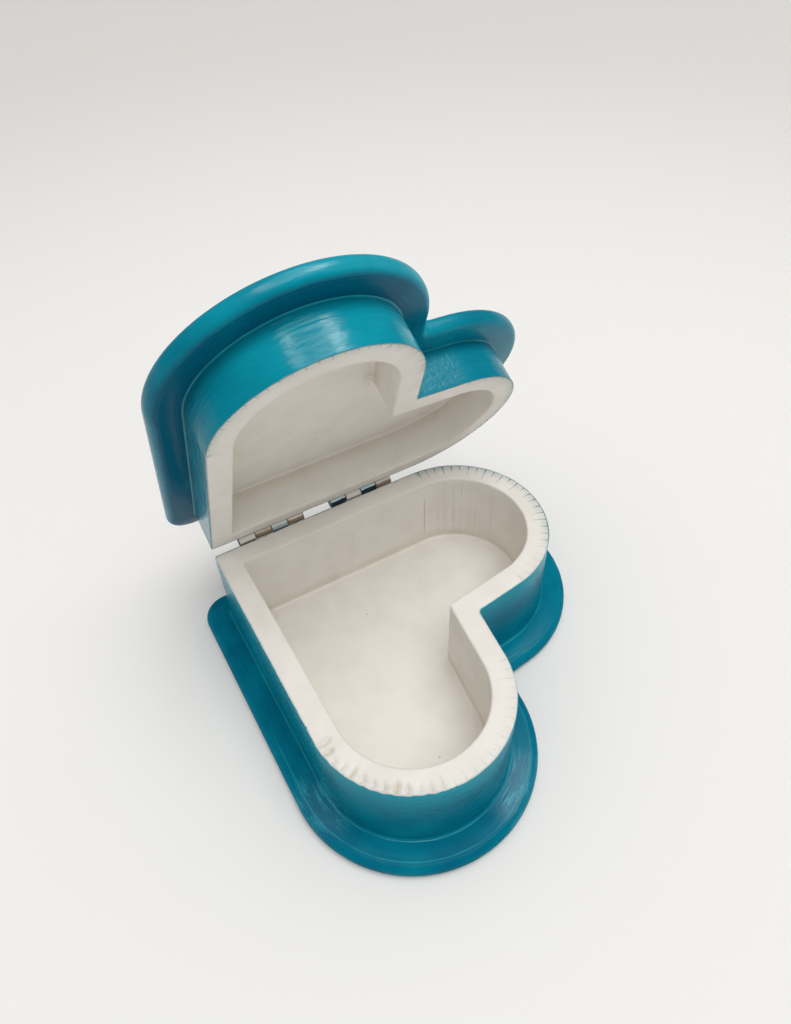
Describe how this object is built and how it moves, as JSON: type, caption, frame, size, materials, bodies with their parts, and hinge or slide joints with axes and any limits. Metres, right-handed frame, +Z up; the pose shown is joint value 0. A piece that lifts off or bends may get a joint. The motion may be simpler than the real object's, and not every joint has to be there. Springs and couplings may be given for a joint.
{
  "type": "heart-shaped keepsake box",
  "caption": "Small heart-shaped board box with overhanging plates, straight walls and a shallow lid hinged along one straight side, shown standing open and empty.",
  "frame": {"origin": "middle of the base plate's underside: halfway between the hinge side and the far lobe, and between the other straight side and the other lobe", "axes": "+Z up; +X along the hinge side from the heart's point towards its lobe; +Y towards the hinges at the back"},
  "size_m": [0.1306, 0.1437, 0.1562],
  "materials": {
    "painted_board": "gloss teal paint brushed by hand outside, satin off-white paint inside and on the rims",
    "hinge_brass": "thin pressed brass, partly painted over",
    "pin_steel": "drawn wire"
  },
  "bodies": {
    "base": {"base_plate": "painted_board", "base_wall": "painted_board", "hinge_1_base_leaf": "hinge_brass", "hinge_1_pin": "pin_steel", "hinge_2_base_leaf": "hinge_brass", "hinge_2_pin": "pin_steel"},
    "lid": {"lid_plate": "painted_board", "lid_wall": "painted_board", "hinge_1_lid_leaf": "hinge_brass", "hinge_2_lid_leaf": "hinge_brass"}
  },
  "joints": [
    {"name": "lid_hinge", "type": "hinge", "parent": "base", "child": "lid", "pos_m": [0, 0.05795, 0.03795], "axis": [-1, 0, 0], "range_deg": [-63.2, 96.8]}
  ]
}
